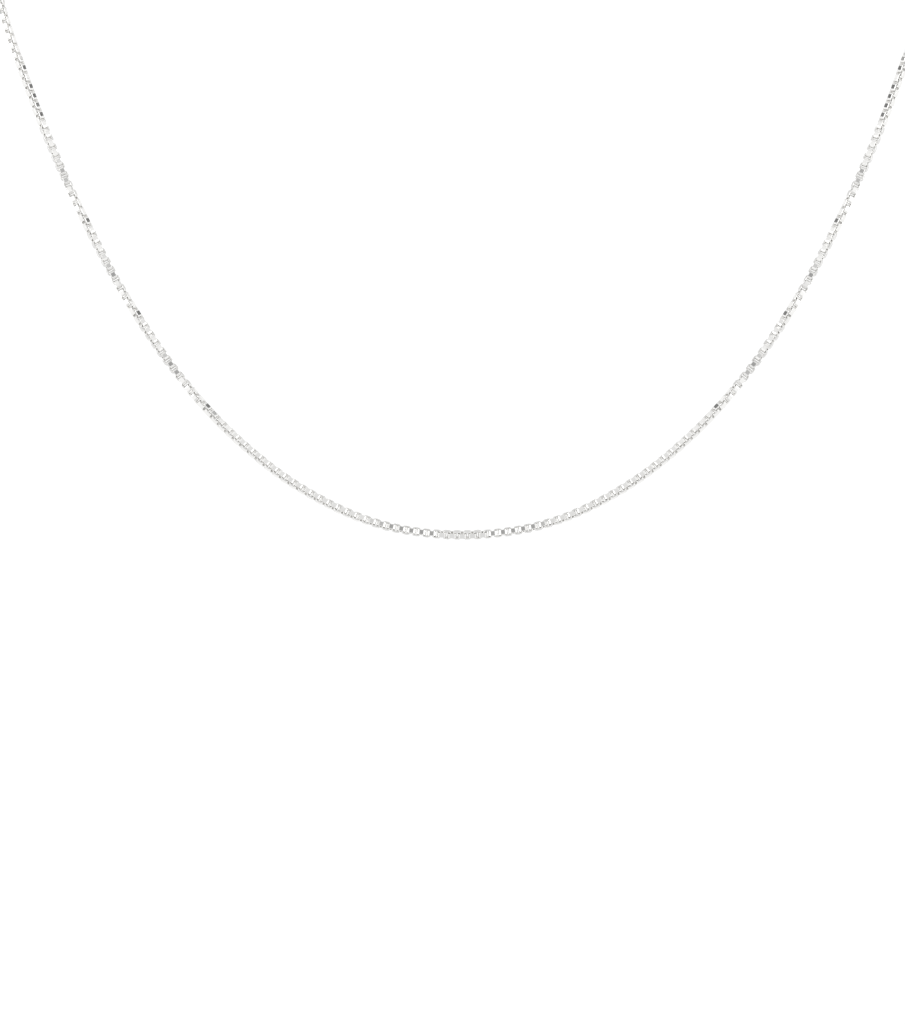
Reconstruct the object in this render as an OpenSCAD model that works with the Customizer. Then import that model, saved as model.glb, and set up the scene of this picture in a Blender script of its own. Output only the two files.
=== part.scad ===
// Fine box chain necklace in the form it takes when worn, fastened at the nape.
// Lengths are millimetres, +Z is up and the front of the necklace faces -Y.
// The origin is where the clasp touches the nape. The two halves of the chain
// are smooth runs of the chain's real width, and they meet at the front middle.

/* [Chain] */
// Width of the chain across its flats
chain_w = 1.2; // [0.8:0.1:1.6]

/* [Loop] */
// Width of the loop, between the middles of the chain at its two sides
loop_w = 136; // [120:1:150]
// Depth of the loop, from the nape to the front middle
loop_d = 92; // [80:1:104]
// Drop from the nape to the lowest point of the chain's middle
drop_h = 102; // [88:1:120]

/* [Clasp] */
// Diameter of the clasp's ring, at the middle of its wire
clasp_d = 4.6; // [4:0.1:6]
// Wire of the clasp's ring
clasp_wire = 1.2; // [0.9:0.1:1.4]
// Wire of the fixed eye on the clasp
eye_wire = 0.6; // [0.4:0.1:0.8]
// Diameter of the thumb button on the clasp
button_d = 0.8; // [0.6:0.1:0.9]
// Height of the thumb button above the clasp's ring
button_h = 0.5; // [0.3:0.1:0.8]
// Place of the thumb button round the clasp's ring, from +X towards +Z
button_at = 125; // [100:5:150]

/* [Rings] */
// Wire of the two jump rings
jump_wire = 0.5; // [0.4:0.05:0.7]
// Wire of the end ring soldered to each end of the chain
end_wire = 0.5; // [0.4:0.05:0.7]
// Clear space left between rings that are linked
link_gap = 0.15; // [0.12:0.01:0.25]

/* [Hidden] */

$fn = 64;
SILVER = [0.78, 0.78, 0.76];

// Columns of the route: out to the side as a share of half the loop's width,
// forward from the nape as a share of its depth, and down from the nape as a
// share of its drop. The first row is the front middle, the last is the nape.
ROUTE = [
    [0.000, 1.000, 1.000],
    [0.175, 0.995, 0.985],
    [0.335, 0.981, 0.937],
    [0.475, 0.960, 0.866],
    [0.590, 0.935, 0.783],
    [0.690, 0.907, 0.688],
    [0.775, 0.877, 0.587],
    [0.850, 0.846, 0.481],
    [0.910, 0.816, 0.381],
    [0.960, 0.787, 0.283],
    [0.995, 0.740, 0.180],
    [1.000, 0.645, 0.101],
    [0.945, 0.500, 0.053],
    [0.815, 0.335, 0.026],
    [0.625, 0.180, 0.010],
    [0.380, 0.057, 0.002]
];
// Rings of points along each half of the chain, and sides of each ring
RINGS = 40;
SIDES = 8;

// The middles of the chain, clasp and rings all lie this far from the nape
nape_y = clasp_wire / 2;

// Each ring's hole takes the wire that it holds, with the clear space all round
eye_r = (jump_wire + eye_wire) / 2 + link_gap;
end_r = (jump_wire + end_wire) / 2 + link_gap;
// Each jump ring holds two wires side by side, with the clear space between
jump_r_right = (eye_wire + end_wire + 3 * link_gap + jump_wire) / 2;
jump_r_left = (clasp_wire + end_wire + 3 * link_gap + jump_wire) / 2;

// Places along X, each worked out from the ring before it
clasp_r = clasp_d / 2;
eye_x = clasp_r + clasp_wire / 2 + eye_r;
jump_x_right = eye_x + jump_r_right;
end_x_right = jump_x_right + jump_r_right;
jump_x_left = clasp_wire / 2 + link_gap + jump_wire / 2 - clasp_r - jump_r_left;
end_x_left = jump_x_left - jump_r_left;
// The chain starts in the wall of its end ring
start_x_right = end_x_right + end_r;
start_x_left = -end_x_left + end_r;

// A vector of length 1
function unit(v) = v / norm(v);

// The route's points in millimetres for the half at +X, starting at x = start
function route_points(start) = [
    for (row = ROUTE) [
        row[0] * loop_w / 2,
        nape_y - row[1] * loop_d,
        -row[2] * drop_h
    ],
    [start, nape_y, 0]
];

// A point mirrored in the plane across X through another one
function mirrored(p, across) = [2 * across[0] - p[0], p[1], p[2]];

// The route's points with one more at each end, so that both ends run along X
function with_ends(points) = let (last = len(points) - 1) [
    mirrored(points[1], points[0]),
    for (p = points) p,
    mirrored(points[last - 1], points[last])
];

// Smooth curve through four points in a row, between the second and third
function curve(a, b, c, d, t) = 0.5 * (
    2 * b
    + (c - a) * t
    + (2 * a - 5 * b + 4 * c - d) * pow(t, 2)
    + (3 * b - a - 3 * c + d) * pow(t, 3)
);

// The direction of that curve
function curve_way(a, b, c, d, t) = unit(
    (c - a)
    + 2 * (2 * a - 5 * b + 4 * c - d) * t
    + 3 * (3 * b - a - 3 * c + d) * pow(t, 2)
);

// One ring of points round the route, square to it, with a flat side outwards
function ring_at(middle, way, radius) = let (
    outwards = [middle[0], middle[1] - nape_y + loop_d / 2, 0],
    across = unit(outwards - way * (outwards * way)),
    up = cross(way, across)
) [
    for (side = [0 : SIDES - 1])
        let (turn = (side + 0.5) * 360 / SIDES)
        middle + radius * (cos(turn) * across + sin(turn) * up)
];

// All the rings along one half of the chain
function chain_rings(start) = let (
    points = with_ends(route_points(start)),
    spans = len(points) - 3,
    radius = chain_w / 2 / cos(180 / SIDES)
) [
    for (i = [0 : RINGS - 1])
        let (
            place = spans * i / (RINGS - 1),
            span = min(floor(place), spans - 1),
            t = place - span,
            a = points[span],
            b = points[span + 1],
            c = points[span + 2],
            d = points[span + 3]
        )
        ring_at(curve(a, b, c, d, t), curve_way(a, b, c, d, t), radius)
];

// A solid skinned over rings of points, with a flat cap at each end
module skin(rings) {
    sides = len(rings[0]);
    last = len(rings) - 1;
    walls = [
        for (i = [0 : last - 1], j = [0 : sides - 1])
            let (k = (j + 1) % sides)
            [i * sides + j, (i + 1) * sides + j, (i + 1) * sides + k, i * sides + k]
    ];
    first_cap = [for (j = [0 : sides - 1]) j];
    last_cap = [for (j = [sides - 1 : -1 : 0]) last * sides + j];
    polyhedron(
        points = [for (ring = rings) for (p = ring) p],
        faces = concat(walls, [first_cap], [last_cap])
    );
}

// A round wire ring about its own Z axis
module wire_ring(radius, wire) {
    rotate_extrude()
        translate([radius, 0])
            circle(d = wire);
}

// A wire ring lying flat against the neck, centred at x
module flat_ring(x, radius, wire) {
    translate([x, nape_y, 0])
        rotate([90, 0, 0])
            wire_ring(radius, wire);
}

// A wire ring standing edge on to the neck, centred at x
module edge_ring(x, radius, wire) {
    translate([x, nape_y, 0])
        wire_ring(radius, wire);
}

// One half of the chain with its end ring, at +X
module half_chain(start, ring_x) {
    skin(chain_rings(start));
    flat_ring(ring_x, end_r, end_wire);
}

module chain_left() {
    color(SILVER)
        mirror([1, 0, 0])
            half_chain(start_x_left, -end_x_left);
}

module chain_right() {
    color(SILVER)
        half_chain(start_x_right, end_x_right);
}

module clasp() {
    color(SILVER) {
        flat_ring(0, clasp_r, clasp_wire);
        flat_ring(eye_x, eye_r, eye_wire);
        translate([0, nape_y, 0])
            rotate([0, 90 - button_at, 0])
                translate([0, 0, clasp_r])
                    cylinder(d = button_d, h = clasp_wire / 2 + button_h);
    }
}

module jump_ring_left() {
    color(SILVER)
        edge_ring(jump_x_left, jump_r_left, jump_wire);
}

module jump_ring_right() {
    color(SILVER)
        edge_ring(jump_x_right, jump_r_right, jump_wire);
}

chain_left();
chain_right();
clasp();
jump_ring_left();
jump_ring_right();
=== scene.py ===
"""A fine silver box chain necklace in the form it takes when worn.

Lengths are in metres, +Z is up and the front of the necklace faces -Y. The
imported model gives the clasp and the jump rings. The two halves of the chain
are made here link by link, along the same route as their solids.
"""

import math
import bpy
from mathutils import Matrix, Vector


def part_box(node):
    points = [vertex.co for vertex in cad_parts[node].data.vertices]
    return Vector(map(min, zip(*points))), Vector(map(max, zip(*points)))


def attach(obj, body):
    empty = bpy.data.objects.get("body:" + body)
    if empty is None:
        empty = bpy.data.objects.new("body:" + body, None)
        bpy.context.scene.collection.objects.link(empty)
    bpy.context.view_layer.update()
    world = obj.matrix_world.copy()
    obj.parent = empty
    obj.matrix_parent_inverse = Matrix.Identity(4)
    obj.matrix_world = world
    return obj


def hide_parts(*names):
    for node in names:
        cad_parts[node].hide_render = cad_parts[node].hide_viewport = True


bl_info = {
    "name": "Box Chain Necklace",
    "version": (1, 0, 0),
    "blender": (4, 5, 0),
    "location": "3D View > Sidebar > Necklace",
    "description": "Makes a silver box chain link by link and sets it in a pale studio",
    "category": "Object",
}

import bpy
import numpy as np
from bpy.props import FloatProperty, FloatVectorProperty, IntProperty, PointerProperty
from mathutils import Vector

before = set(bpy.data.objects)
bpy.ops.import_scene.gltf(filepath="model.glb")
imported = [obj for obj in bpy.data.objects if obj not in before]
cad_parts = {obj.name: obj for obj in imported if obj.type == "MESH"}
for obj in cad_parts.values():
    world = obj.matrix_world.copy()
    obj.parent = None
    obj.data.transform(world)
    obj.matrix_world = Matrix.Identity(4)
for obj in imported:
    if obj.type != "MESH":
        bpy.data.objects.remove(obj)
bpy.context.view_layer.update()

MM = 0.001

# The size of the loop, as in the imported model
LOOP_WIDTH = 136 * MM
LOOP_DEPTH = 92 * MM
DROP = 102 * MM

# The route of half the chain, from the front middle to the nape. Columns: out
# to the side as a share of half the loop's width, forward from the nape as a
# share of its depth, and down from the nape as a share of its drop.
ROUTE = (
    (0.000, 1.000, 1.000),
    (0.175, 0.995, 0.985),
    (0.335, 0.981, 0.937),
    (0.475, 0.960, 0.866),
    (0.590, 0.935, 0.783),
    (0.690, 0.907, 0.688),
    (0.775, 0.877, 0.587),
    (0.850, 0.846, 0.481),
    (0.910, 0.816, 0.381),
    (0.960, 0.787, 0.283),
    (0.995, 0.740, 0.180),
    (1.000, 0.645, 0.101),
    (0.945, 0.500, 0.053),
    (0.815, 0.335, 0.026),
    (0.625, 0.180, 0.010),
    (0.380, 0.057, 0.002),
)
STEPS_A_SPAN = 32

# How far the chain is rolled about its own line. Columns: length of chain from
# the front middle, and the turn of every second link's flat from the front
# towards the outer side of the loop, in degrees. The links between them are a
# quarter turn further.
ROLL = (
    (0.0 * MM, 34),
    (1.4 * MM, 31),
    (2.9 * MM, 23),
    (4.2 * MM, 4),
    (5.6 * MM, 0),
    (8.8 * MM, -3),
    (12.7 * MM, -10),
    (15.8 * MM, -15),
    (18.9 * MM, -18),
    (21.8 * MM, -21),
    (28.4 * MM, -25),
    (36.8 * MM, -30),
    (40.0 * MM, -35),
    (41.4 * MM, -40),
    (43.0 * MM, -50),
    (47.8 * MM, -88),
    (49.3 * MM, -93),
    (50.7 * MM, -99),
    (55.2 * MM, -110),
    (56.4 * MM, -118),
    (57.8 * MM, -131),
    (64.3 * MM, -183),
    (65.7 * MM, -189),
    (67.2 * MM, -192),
    (70.0 * MM, -203),
    (71.8 * MM, -216),
    (73.2 * MM, -223),
    (78.8 * MM, -264),
    (80.2 * MM, -274),
    (82.0 * MM, -281),
    (84.8 * MM, -286),
    (86.9 * MM, -292),
    (89.0 * MM, -310),
    (94.3 * MM, -312),
    (94.9 * MM, -322),
    (95.6 * MM, -313),
    (97.3 * MM, -313),
    (98.3 * MM, -321),
    (100.5 * MM, -322),
    (104.6 * MM, -335),
    (106.8 * MM, -343),
)
# From here to the end the roll eases to the angle at which the last link
# takes the end ring
EASE_FROM = 112 * MM

# The wire of the end rings and the clear space between linked rings, as in
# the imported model
END_WIRE = 0.5 * MM
LINK_GAP = 0.15 * MM
# Faces round an end ring and round its wire, and the ring's tone among the
# links' tones, which run from 0 to 1
RING_STATIONS = 48
RING_SIDES = 16
RING_TONE = 0.5
# Faces round each edge of a link's strip
EDGE_STEPS = 4

HALVES = {"left": -1, "right": 1}

# The middle of the space inside the loop
LOOP_MIDDLE = Vector((0, -0.045, -0.05))
# Where each soft light hangs from there: out to its side, forward and up
LIGHT_OUT = 0.78
LIGHT_FORWARD = 0.45
LIGHT_UP = 0.07
# The nearest and furthest that the camera sees
NEAR = 10 * MM
FAR = 50.0

# Cards that only the silver's reflections show. They stand for the pale walls,
# the dark camera and the dark gaps at the two sides of the room. Columns:
# name, brightness, distance from the loop's middle in metres, from and to in
# degrees sideways from the front towards +X, and from and to in degrees above
# the horizon.
REFLECTION_CARDS = (
    ("card_above", 0.95, 1.00, (-180, 180), (38, 90)),
    ("card_high_front", 0.80, 0.97, (-62, 62), (38, 62)),
    ("card_front", 0.97, 1.00, (-84, 84), (16, 38)),
    ("card_low", 1.00, 1.00, (-180, 180), (-22, 16)),
    ("card_below", 0.97, 1.00, (-180, 180), (-90, -22)),
    ("card_low_front", 0.75, 0.96, (-40, 40), (-90, -14)),
    ("card_behind", 0.76, 0.95, (150, 210), (-40, 80)),
    ("card_low_behind_left", 0.86, 0.93, (-150, -114), (-45, 7)),
    ("card_low_behind_right", 0.86, 0.93, (114, 150), (-45, 7)),
    ("card_side_left", 1.00, 0.95, (-150, -101), (10, 40)),
    ("card_side_right", 1.00, 0.95, (101, 150), (10, 40)),
    ("card_at_camera", 0.34, 0.90, (-6, 6), (6, 36)),
    ("card_round_camera", 0.60, 0.92, (-17, 17), (4, 38)),
    ("card_dark_left", 0.15, 0.90, (-103, -84), (12, 66)),
    ("card_dark_right", 0.15, 0.90, (84, 103), (12, 66)),
)
# Faces of a card sideways and upwards
CARD_COLUMNS = 24
CARD_ROWS = 12


class ChainSettings(bpy.types.PropertyGroup):
    """Sizes of one link and how the links follow each other."""

    width: FloatProperty(
        name="Width",
        description="Width of a link across its flats",
        default=1.2 * MM,
        subtype="DISTANCE",
        unit="LENGTH",
    )
    length: FloatProperty(
        name="Length",
        description="Length of a link along the chain",
        default=1.28 * MM,
        subtype="DISTANCE",
        unit="LENGTH",
    )
    strip_width: FloatProperty(
        name="Strip width",
        description="Width of the flat strip that a link is bent from",
        default=0.68 * MM,
        subtype="DISTANCE",
        unit="LENGTH",
    )
    strip_thickness: FloatProperty(
        name="Strip thickness",
        description="Thickness of the flat strip",
        default=0.228 * MM,
        subtype="DISTANCE",
        unit="LENGTH",
    )
    corner: FloatProperty(
        name="Corner radius",
        description="Outer radius of a link's four bends",
        default=0.42 * MM,
        subtype="DISTANCE",
        unit="LENGTH",
    )
    bevel: FloatProperty(
        name="Strip edge",
        description="How far the rounding reaches in from each edge of the strip",
        default=0.06 * MM,
        subtype="DISTANCE",
        unit="LENGTH",
    )
    pitch: FloatProperty(
        name="Pitch",
        description="Length of chain from one link to the next",
        default=0.7142 * MM,
        subtype="DISTANCE",
        unit="LENGTH",
    )
    bend_steps: IntProperty(
        name="Bend steps",
        description="Number of faces round each of a link's bends",
        default=6,
        min=3,
    )
    play: FloatProperty(
        name="Play",
        description="How far a link may be turned by chance about the chain's line",
        default=math.radians(1.5),
        subtype="ANGLE",
        unit="ROTATION",
    )


class SilverSettings(bpy.types.PropertyGroup):
    """Colour and polish of the silver."""

    colour: FloatVectorProperty(
        name="Silver",
        description="Colour of the polished silver",
        default=(0.955, 0.95, 0.935),
        subtype="COLOR",
        min=0,
        max=1,
    )
    tarnish: FloatVectorProperty(
        name="Tarnish",
        description="Colour of the tarnish inside the links",
        default=(0.92, 0.91, 0.885),
        subtype="COLOR",
        min=0,
        max=1,
    )
    tone: FloatProperty(
        name="Tone",
        description="Brightness of the darkest links as a share of the brightest",
        default=0.965,
        subtype="FACTOR",
        min=0,
        max=1,
    )
    handled: FloatVectorProperty(
        name="Handled silver",
        description="Colour of the clasp where handling has dulled it",
        default=(0.62, 0.61, 0.58),
        subtype="COLOR",
        min=0,
        max=1,
    )
    roughness: FloatProperty(
        name="Roughness",
        description="Roughness of the polished faces",
        default=0.14,
        subtype="FACTOR",
        min=0,
        max=1,
    )
    tarnish_roughness: FloatProperty(
        name="Tarnish roughness",
        description="Roughness that the tarnish inside the links adds",
        default=0.2,
        subtype="FACTOR",
        min=0,
        max=1,
    )
    grain: FloatProperty(
        name="Grain size",
        description="Size of the fine marks that polishing leaves",
        default=0.05 * MM,
        subtype="DISTANCE",
        unit="LENGTH",
    )


class StageSettings(bpy.types.PropertyGroup):
    """Camera, floor and light."""

    lens: FloatProperty(
        name="Lens",
        description="Focal length of the camera, in millimetres",
        default=200,
        subtype="DISTANCE_CAMERA",
        unit="CAMERA",
    )
    elevation: FloatProperty(
        name="Elevation",
        description="Angle of the camera above the horizon",
        default=math.radians(10),
        subtype="ANGLE",
        unit="ROTATION",
    )
    view_height: FloatProperty(
        name="View height",
        description="Height of the picture at the front of the chain",
        default=143.36 * MM,
        subtype="DISTANCE",
        unit="LENGTH",
    )
    aim_left: FloatProperty(
        name="Aim left",
        description="How far the picture's middle lies left of the lowest point",
        default=1.36 * MM,
        subtype="DISTANCE",
        unit="LENGTH",
    )
    aim_up: FloatProperty(
        name="Aim up",
        description="How far the picture's middle lies above the lowest point",
        default=3.2 * MM,
        subtype="DISTANCE",
        unit="LENGTH",
    )
    floor_size: FloatProperty(
        name="Floor size",
        description="Width of the square floor",
        default=12,
        subtype="DISTANCE",
        unit="LENGTH",
    )
    floor_drop: FloatProperty(
        name="Floor drop",
        description="How far the floor lies below the chain's lowest point",
        default=0.15,
        subtype="DISTANCE",
        unit="LENGTH",
    )
    brightness: FloatProperty(
        name="Brightness",
        description="Brightness of the pale surroundings",
        default=1.15,
        min=0,
    )
    light_power: FloatProperty(
        name="Light power",
        description="Power of each of the two soft lights",
        default=1.1,
        subtype="POWER",
        unit="POWER",
        min=0,
    )
    light_size: FloatProperty(
        name="Light size",
        description="Width of each soft light",
        default=0.45,
        subtype="DISTANCE",
        unit="LENGTH",
    )


def curve(a, b, c, d, t):
    """A point of the smooth curve through a, b, c and d, between b and c."""
    return 0.5 * (
        2 * b
        + (c - a) * t
        + (2 * a - 5 * b + 4 * c - d) * t**2
        + (3 * b - a - 3 * c + d) * t**3
    )


def unit(vectors):
    """The vectors, each scaled to length 1."""
    return vectors / np.linalg.norm(vectors, axis=-1, keepdims=True)


class Fastening:
    """Where the end rings lie, worked out from the jump rings that they hold."""

    def __init__(self, side):
        low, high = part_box("jump_ring_" + side)
        self.sign = HALVES[side]
        jump_wire = high.z - low.z
        outer_end = high.x if self.sign > 0 else low.x
        self.middle_y = (low.y + high.y) / 2
        self.ring_x = outer_end - self.sign * jump_wire / 2
        self.ring_radius = (jump_wire + END_WIRE) / 2 + LINK_GAP
        self.chain_x = self.ring_x + self.sign * self.ring_radius


class HalfRoute:
    """The chain's line from the front middle to its end ring, on one side.

    At each sampled place it holds the way along the chain and a direction
    square to it that starts at the front and is carried along with no twist.
    """

    def __init__(self, side):
        self.sign = HALVES[side]
        end = Fastening(side)
        points = [
            np.array((
                self.sign * out * LOOP_WIDTH / 2,
                end.middle_y - forward * LOOP_DEPTH,
                -down * DROP,
            ))
            for out, forward, down in ROUTE
        ]
        points.append(np.array((end.chain_x, end.middle_y, 0.0)))
        points.insert(0, self.mirrored(points[1], points[0]))
        points.append(self.mirrored(points[-2], points[-1]))
        places = []
        for a, b, c, d in zip(points, points[1:], points[2:], points[3:]):
            places += [curve(a, b, c, d, i / STEPS_A_SPAN) for i in range(STEPS_A_SPAN)]
        places.append(points[-2])
        self.places = np.array(places)
        steps = np.linalg.norm(np.diff(self.places, axis=0), axis=1)
        self.lengths = np.concatenate(([0.0], np.cumsum(steps)))
        self.ways = unit(np.gradient(self.places, self.lengths, axis=0))
        self.fronts = self.carried_front()

    @staticmethod
    def mirrored(point, across):
        """The point mirrored in the plane across X through another one."""
        return np.array((2 * across[0] - point[0], point[1], point[2]))

    def carried_front(self):
        """The front direction, kept square to the chain along its whole line."""
        # The front is square to the plane in which the chain starts to rise
        rise = self.places[STEPS_A_SPAN] - self.places[0]
        front = np.cross(rise, self.ways[0]) * -self.sign
        fronts = []
        for way in self.ways:
            front = unit(front - way * np.dot(front, way))
            fronts.append(front)
        return np.array(fronts)

    def at(self, distances):
        """Places, ways and fronts at the given lengths from the front middle."""
        def between(rows):
            columns = [np.interp(distances, self.lengths, rows[:, i]) for i in range(3)]
            return np.stack(columns, axis=-1)

        places = between(self.places)
        ways = unit(between(self.ways))
        fronts = between(self.fronts)
        fronts = unit(fronts - ways * np.sum(fronts * ways, axis=1, keepdims=True))
        return places, ways, fronts


def strip_section(width, thickness, bevel):
    """The strip's cross-section: (outwards, sideways) points and their normals.

    Outwards runs from the strip's middle away from the link's middle. Both
    faces are flat, and both edges are rounded over the whole thickness.
    """
    flat, half = width / 2 - bevel, thickness / 2
    points, normals = [], []
    for edge in (1, -1):
        for i in range(EDGE_STEPS + 1):
            turn = math.pi * i / EDGE_STEPS
            out, aside = edge * math.cos(turn), edge * math.sin(turn)
            points.append((half * out, edge * flat + bevel * aside))
            normals.append((bevel * out, half * aside))
    return np.array(points), unit(np.array(normals))


def strip_line(width, length, corner, thickness, steps):
    """The middle line of a link's strip: points and outward normals.

    It is a rectangle with round corners, in the plane of (along, across).
    """
    radius = corner - thickness / 2
    along = length / 2 - thickness / 2 - radius
    across = width / 2 - thickness / 2 - radius
    points, normals = [], []
    for quarter in range(4):
        centre_along = along if quarter in (0, 3) else -along
        centre_across = across if quarter in (0, 1) else -across
        for i in range(steps + 1):
            turn = (quarter + i / steps) * math.pi / 2
            normal = np.array((math.cos(turn), math.sin(turn)))
            points.append(np.array((centre_along, centre_across)) + radius * normal)
            normals.append(normal)
    return np.array(points), np.array(normals)


def link_shape(chain):
    """One link about its own middle: vertices, normals, quads and a mark of
    how deep inside the link each vertex lies, from 0 outside to 1 inside."""
    line, line_normals = strip_line(
        chain.width, chain.length, chain.corner, chain.strip_thickness, chain.bend_steps
    )
    section, section_normals = strip_section(
        chain.strip_width, chain.strip_thickness, chain.bevel
    )
    vertices, normals, depth = [], [], []
    for point, outward in zip(line, line_normals):
        for (out, aside), (normal_out, normal_aside) in zip(section, section_normals):
            vertices.append((*(point + out * outward), aside))
            normals.append((*(normal_out * outward), normal_aside))
            depth.append(0.5 - out / chain.strip_thickness)
    stations, sides = len(line), len(section)
    quads = []
    for i in range(stations):
        for j in range(sides):
            near, far = i * sides, (i + 1) % stations * sides
            k = (j + 1) % sides
            quads.append((near + j, far + j, far + k, near + k))
    return np.array(vertices), unit(np.array(normals)), np.array(quads), np.array(depth)


def link_frames(route, chain, random):
    """The place of each link's middle and its three axes, along the route.

    The axes are along the chain, across the link's loop, and along the
    strip's width. Each link is a quarter turn from the one before it.
    """
    # The last link's far wall takes the end ring's wire
    last = route.lengths[-1] + END_WIRE / 2 + chain.strip_thickness - chain.length / 2
    # The link at the front middle belongs to the right half
    skipped = 1 if route.sign < 0 else 0
    count = round(last / chain.pitch) + 1
    numbers = np.arange(skipped, count)
    distances = numbers * last / (count - 1)
    places, ways, fronts = route.at(distances)
    outer = np.cross(ways, fronts) * route.sign
    roll = np.interp(distances, [row[0] for row in ROLL], [row[1] for row in ROLL])
    roll = np.radians(roll + 90 * (numbers % 2))
    # At the end ring the loop of the last link lies level, across the ring. It
    # looks the same after half a turn, so the shorter way there is enough.
    level = math.atan2(outer[-1][1], fronts[-1][1])
    to_level = (level - roll[-1] + math.pi / 2) % math.pi - math.pi / 2
    ease = np.clip((distances - EASE_FROM) / (last - EASE_FROM), 0, 1)
    roll += to_level * ease + random.uniform(-chain.play, chain.play, len(numbers))
    turn = roll[:, None]
    across = np.cos(turn) * fronts + np.sin(turn) * outer
    return places, ways, across, np.cross(ways, across)


def ring_shape(radius, wire, stations, sides):
    """A wire ring in the (X, Z) plane: vertices, normals and quads."""
    vertices, normals, quads = [], [], []
    for i in range(stations):
        turn = 2 * math.pi * i / stations
        outward = np.array((math.cos(turn), 0, math.sin(turn)))
        for j in range(sides):
            lift = 2 * math.pi * j / sides
            normal = math.cos(lift) * outward + np.array((0, math.sin(lift), 0))
            vertices.append(outward * radius + normal * wire / 2)
            normals.append(normal)
            near, far = i * sides, (i + 1) % stations * sides
            k = (j + 1) % sides
            quads.append((near + j, near + k, far + k, far + j))
    return np.array(vertices), np.array(normals), np.array(quads)


def half_chain_mesh(side, chain, seed):
    """The joined mesh of all the links of one half and its end ring."""
    random = np.random.default_rng(seed)
    shape, shape_normals, shape_quads, shape_depth = link_shape(chain)
    frames = link_frames(HalfRoute(side), chain, random)
    vertices, normals, quads, depth, tone = [], [], [], [], []
    made = 0
    for place, way, across, strip in zip(*frames):
        axes = np.array((way, across, strip))
        vertices.append(place + shape @ axes)
        normals.append(shape_normals @ axes)
        quads.append(shape_quads + made)
        depth.append(shape_depth)
        tone.append(np.full(len(shape), random.random()))
        made += len(shape)
    end = Fastening(side)
    ring, ring_normals, ring_quads = ring_shape(
        end.ring_radius, END_WIRE, RING_STATIONS, RING_SIDES
    )
    vertices.append(ring + (end.ring_x, end.middle_y, 0))
    normals.append(ring_normals)
    quads.append(ring_quads + made)
    depth.append(np.zeros(len(ring)))
    tone.append(np.full(len(ring), RING_TONE))
    mesh = bpy.data.meshes.new("chain_links_" + side)
    mesh.from_pydata(
        np.concatenate(vertices).tolist(), [], np.concatenate(quads).tolist()
    )
    mesh.shade_smooth()
    mesh.normals_split_custom_set_from_vertices(np.concatenate(normals).tolist())
    for name, values in (("recess", depth), ("tone", tone)):
        layer = mesh.attributes.new(name, "FLOAT", "POINT")
        layer.data.foreach_set("value", np.concatenate(values))
    return mesh


class Nodes:
    """Short calls for building a node material."""

    def __init__(self, name):
        self.material = bpy.data.materials.new(name)
        self.material.use_nodes = True
        self.tree = self.material.node_tree
        self.shader = self.tree.nodes["Principled BSDF"]

    def add(self, kind, **settings):
        """A new node with the given settings."""
        node = self.tree.nodes.new(kind)
        for name, value in settings.items():
            setattr(node, name, value)
        return node

    def join(self, from_socket, to_socket):
        """A link from one socket to another."""
        self.tree.links.new(from_socket, to_socket)

    def attribute(self, name):
        """A number that the mesh holds for each of its vertices."""
        return self.add("ShaderNodeAttribute", attribute_name=name).outputs["Fac"]

    def value(self, operation, a, b):
        """A math node on two values, each a socket or a number."""
        node = self.add("ShaderNodeMath", operation=operation)
        for socket, value in zip(node.inputs, (a, b)):
            if isinstance(value, (int, float)):
                socket.default_value = value
            else:
                self.join(value, socket)
        return node.outputs["Value"]

    def noise(self, size, detail=3):
        """Noise of the given size in metres, in the object's own frame."""
        place = self.add("ShaderNodeTexCoord").outputs["Object"]
        noise = self.add("ShaderNodeTexNoise")
        noise.inputs["Scale"].default_value = 1 / size
        noise.inputs["Detail"].default_value = detail
        self.join(place, noise.inputs["Vector"])
        return noise.outputs["Fac"]

    def remap(self, value, low, high, to_low=0.0, to_high=1.0):
        """The range from low to high of a value, stretched over another range."""
        node = self.add("ShaderNodeMapRange")
        node.inputs["From Min"].default_value = low
        node.inputs["From Max"].default_value = high
        node.inputs["To Min"].default_value = to_low
        node.inputs["To Max"].default_value = to_high
        self.join(value, node.inputs["Value"])
        return node.outputs["Result"]

    def mix(self, factor, a, b):
        """A mix of two colours, each a socket or a tuple."""
        node = self.add("ShaderNodeMix", data_type="RGBA")
        self.join(factor, node.inputs["Factor"])
        for socket, value in zip((node.inputs["A"], node.inputs["B"]), (a, b)):
            if isinstance(value, tuple):
                socket.default_value = value
            else:
                self.join(value, socket)
        return node.outputs["Result"]

    def bump(self, height, distance, strength):
        """Small bumps on the surface, at most as high as the given distance."""
        node = self.add("ShaderNodeBump")
        node.inputs["Distance"].default_value = distance
        node.inputs["Strength"].default_value = strength
        self.join(height, node.inputs["Height"])
        self.join(node.outputs["Normal"], self.shader.inputs["Normal"])


def colour(rgb):
    """A colour of three numbers as the four that a socket takes."""
    return (*rgb, 1.0)


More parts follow.
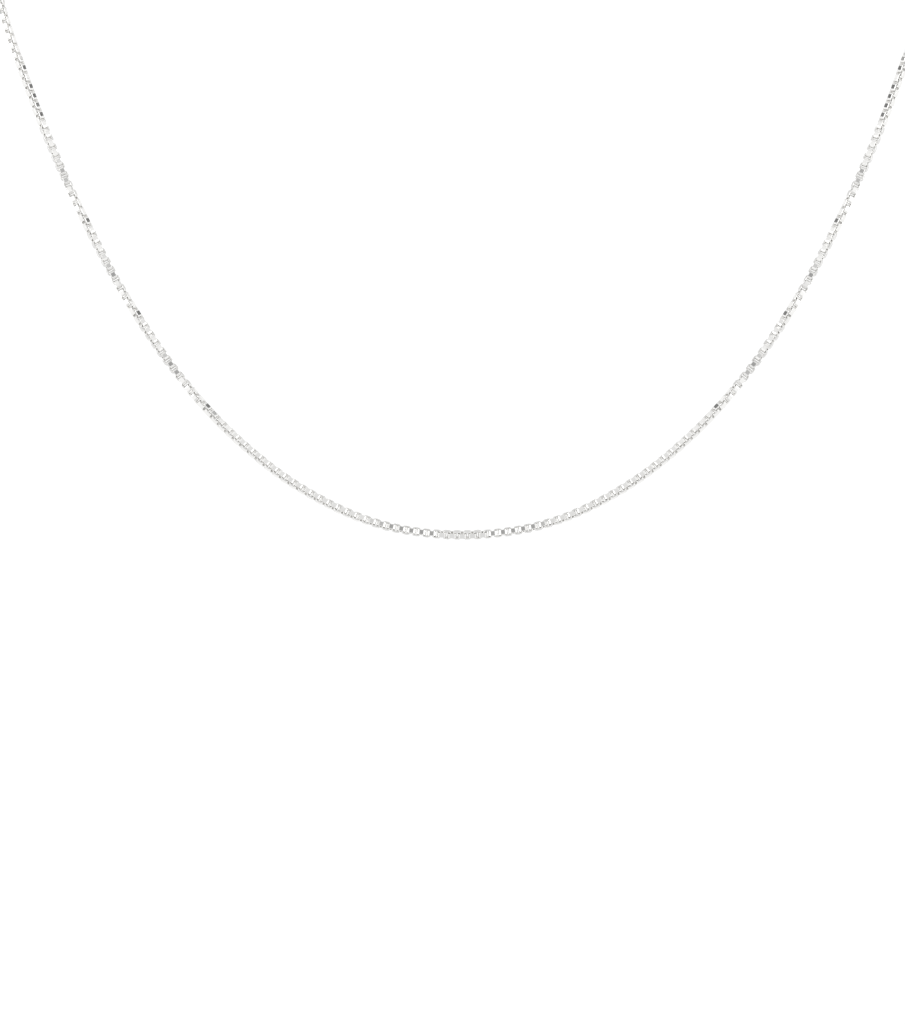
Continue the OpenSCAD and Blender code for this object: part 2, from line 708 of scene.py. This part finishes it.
def chain_silver(silver):
    """Bright silver, a little duller and tarnished inside each link."""
    nodes = Nodes("chain_silver")
    shader = nodes.shader
    shader.inputs["Metallic"].default_value = 1.0
    cloud = nodes.noise(size=1.5 * MM)
    grain = nodes.noise(silver.grain, detail=4)

    # Tarnish, in clouds, on the side of the strip that faces inwards
    inside = nodes.remap(nodes.attribute("recess"), low=0.55, high=1.0)
    patches = nodes.remap(cloud, low=0.2, high=0.8, to_low=0.5)
    dull = nodes.value("MULTIPLY", inside, patches)

    # The links differ a little in tone
    darker = [part * silver.tone for part in silver.colour]
    bright = nodes.mix(nodes.attribute("tone"), colour(silver.colour), colour(darker))
    shade = nodes.mix(dull, bright, colour(silver.tarnish))
    nodes.join(shade, shader.inputs["Base Color"])

    polish = nodes.remap(
        grain,
        low=0.35,
        high=0.7,
        to_low=silver.roughness * 0.8,
        to_high=silver.roughness * 1.4,
    )
    added = nodes.value("MULTIPLY", dull, silver.tarnish_roughness)
    nodes.join(nodes.value("ADD", polish, added), shader.inputs["Roughness"])
    nodes.bump(grain, distance=0.002 * MM, strength=0.25)
    return nodes.material


def clasp_silver(silver):
    """Bright silver with the soft marks of polishing and handling."""
    nodes = Nodes("clasp_silver")
    shader = nodes.shader
    shader.inputs["Metallic"].default_value = 1.0
    cloud = nodes.noise(size=0.8 * MM)
    grain = nodes.noise(silver.grain * 2, detail=4)
    worn = nodes.remap(cloud, low=0.3, high=0.75, to_low=0.2, to_high=0.8)
    shade = nodes.mix(worn, colour(silver.colour), colour(silver.handled))
    nodes.join(shade, shader.inputs["Base Color"])
    polish = nodes.remap(
        grain,
        low=0.35,
        high=0.7,
        to_low=silver.roughness,
        to_high=silver.roughness * 1.8,
    )
    nodes.join(polish, shader.inputs["Roughness"])
    nodes.bump(grain, distance=0.004 * MM, strength=0.3)
    return nodes.material


def floor_white():
    """Matt pale floor, with faint clouds."""
    nodes = Nodes("floor_white")
    nodes.shader.inputs["Roughness"].default_value = 0.9
    cloud = nodes.noise(size=80 * MM)
    shade = nodes.mix(cloud, colour((0.93, 0.93, 0.93)), colour((0.9, 0.9, 0.9)))
    nodes.join(shade, nodes.shader.inputs["Base Color"])
    return nodes.material


def card_grey(name, brightness):
    """Even glow of a card that is seen in reflections, and lights nothing else."""
    material = bpy.data.materials.new(name)
    material.use_nodes = True
    material.cycles.emission_sampling = "NONE"
    tree = material.node_tree
    tree.nodes.clear()
    glow = tree.nodes.new("ShaderNodeEmission")
    glow.inputs["Color"].default_value = colour((brightness,) * 3)
    out = tree.nodes.new("ShaderNodeOutputMaterial")
    tree.links.new(glow.outputs[0], out.inputs["Surface"])
    return material


def show(name, data):
    """A new object of the scene that holds a mesh, a light or a camera."""
    made = bpy.data.objects.new(name, data)
    bpy.context.scene.collection.objects.link(made)
    return made


def lowest_point():
    """The middle of the chain at the front, its lowest point."""
    middle_y = Fastening("right").middle_y
    return Vector((0, middle_y - LOOP_DEPTH, -DROP))


class NECKLACE_OT_camera(bpy.types.Operator):
    """Set the camera in front of the necklace, at the picture's angle"""

    bl_idname = "necklace.camera"
    bl_label = "Set the Camera"

    def execute(self, context):
        stage = context.scene.necklace_stage
        data = bpy.data.cameras.new("camera")
        data.lens = stage.lens
        data.clip_start = NEAR
        data.clip_end = FAR
        camera = show("camera", data)
        towards = Vector((0, -math.cos(stage.elevation), math.sin(stage.elevation)))
        up = Vector((0, math.sin(stage.elevation), math.cos(stage.elevation)))
        aim = lowest_point() + up * stage.aim_up - Vector((stage.aim_left, 0, 0))
        distance = stage.view_height * stage.lens / data.sensor_width
        camera.location = aim + towards * distance
        camera.rotation_euler = (math.pi / 2 - stage.elevation, 0, 0)
        context.scene.camera = camera
        return {"FINISHED"}


class NECKLACE_OT_chain(bpy.types.Operator):
    """Make both halves of the box chain, link by link"""

    bl_idname = "necklace.chain"
    bl_label = "Make the Chain"

    def execute(self, context):
        chain = context.scene.necklace_chain
        silver = chain_silver(context.scene.necklace_silver)
        for seed, side in enumerate(HALVES):
            links = show("chain_links_" + side, half_chain_mesh(side, chain, seed))
            links.data.materials.append(silver)
            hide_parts("chain_" + side)
            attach(links, "root")
        return {"FINISHED"}


class NECKLACE_OT_fastening(bpy.types.Operator):
    """Give the clasp and the jump rings their silver"""

    bl_idname = "necklace.fastening"
    bl_label = "Finish the Fastening"

    def execute(self, context):
        silver = clasp_silver(context.scene.necklace_silver)
        for name in ("clasp", "jump_ring_left", "jump_ring_right"):
            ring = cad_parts[name]
            ring.data.materials.clear()
            ring.data.materials.append(silver)
        return {"FINISHED"}


class NECKLACE_OT_stage(bpy.types.Operator):
    """Lay the pale floor and set the soft light round the necklace"""

    bl_idname = "necklace.stage"
    bl_label = "Set the Stage"

    def execute(self, context):
        stage = context.scene.necklace_stage
        self.lay_floor(stage)
        self.light_world(context.scene, stage)
        for side, sign in HALVES.items():
            self.hang_light("soft_light_" + side, sign, stage)
        for name, grey, radius, sideways, up in REFLECTION_CARDS:
            self.hang_card(name, grey, radius, sideways, up)
        return {"FINISHED"}

    @staticmethod
    def lay_floor(stage):
        """A square floor below the necklace, which its reflections don't show."""
        reach = stage.floor_size / 2
        height = lowest_point().z - stage.floor_drop
        mesh = bpy.data.meshes.new("floor")
        corners = [
            (-reach, -reach, height),
            (reach, -reach, height),
            (reach, reach, height),
            (-reach, reach, height),
        ]
        mesh.from_pydata(corners, [], [(0, 1, 2, 3)])
        mesh.materials.append(floor_white())
        floor = show("floor", mesh)
        floor.visible_glossy = False

    @staticmethod
    def light_world(scene, stage):
        """Even white light from all round, with the picture's whites kept."""
        world = bpy.data.worlds.new("studio")
        world.use_nodes = True
        background = world.node_tree.nodes["Background"]
        background.inputs["Color"].default_value = (1, 1, 1, 1)
        background.inputs["Strength"].default_value = stage.brightness
        scene.world = world
        scene.view_settings.view_transform = "Standard"

    @staticmethod
    def hang_light(name, sign, stage):
        """A large soft light in front of the necklace, out to one side."""
        data = bpy.data.lights.new(name, "AREA")
        data.shape = "SQUARE"
        data.size = stage.light_size
        data.energy = stage.light_power
        light = show(name, data)
        away = Vector((sign * LIGHT_OUT, -LIGHT_FORWARD, LIGHT_UP))
        light.location = LOOP_MIDDLE + away
        light.rotation_euler = away.to_track_quat("Z", "Y").to_euler()

    @staticmethod
    def hang_card(name, grey, radius, sideways, up):
        """A card bent round the necklace that only its reflections show."""
        turns = np.radians(np.linspace(*sideways, CARD_COLUMNS + 1))
        lifts = np.radians(np.linspace(*up, CARD_ROWS + 1))
        points = [
            LOOP_MIDDLE + radius * Vector((
                math.sin(turn) * math.cos(lift),
                -math.cos(turn) * math.cos(lift),
                math.sin(lift),
            ))
            for lift in lifts for turn in turns
        ]
        quads = []
        for row in range(CARD_ROWS):
            for column in range(CARD_COLUMNS):
                low = row * len(turns) + column
                high = low + len(turns)
                quads.append((low, low + 1, high + 1, high))
        mesh = bpy.data.meshes.new(name)
        mesh.from_pydata(points, [], quads)
        mesh.materials.append(card_grey(name, grey))
        card = show(name, mesh)
        card.visible_camera = False
        card.visible_diffuse = False
        card.visible_shadow = False


class NECKLACE_PT_panel(bpy.types.Panel):
    """The necklace's sizes and steps"""

    bl_label = "Box Chain Necklace"
    bl_space_type = "VIEW_3D"
    bl_region_type = "UI"
    bl_category = "Necklace"

    def draw(self, context):
        for group in GROUPS:
            box = self.layout.box()
            settings = getattr(context.scene, group)
            for name in settings.__annotations__:
                box.prop(settings, name)
        for step in OPERATORS:
            self.layout.operator(step.bl_idname)


GROUPS = {
    "necklace_chain": ChainSettings,
    "necklace_silver": SilverSettings,
    "necklace_stage": StageSettings,
}
OPERATORS = (
    NECKLACE_OT_camera,
    NECKLACE_OT_chain,
    NECKLACE_OT_fastening,
    NECKLACE_OT_stage,
)


def register():
    for name, group in GROUPS.items():
        bpy.utils.register_class(group)
        setattr(bpy.types.Scene, name, PointerProperty(type=group))
    for step in OPERATORS:
        bpy.utils.register_class(step)
    bpy.utils.register_class(NECKLACE_PT_panel)


def unregister():
    bpy.utils.unregister_class(NECKLACE_PT_panel)
    for step in reversed(OPERATORS):
        bpy.utils.unregister_class(step)
    for name, group in GROUPS.items():
        delattr(bpy.types.Scene, name)
        bpy.utils.unregister_class(group)


def main():
    register()
    bpy.ops.necklace.camera()
    bpy.ops.necklace.chain()
    bpy.ops.necklace.fastening()
    bpy.ops.necklace.stage()


if __name__ == "__main__":
    main()
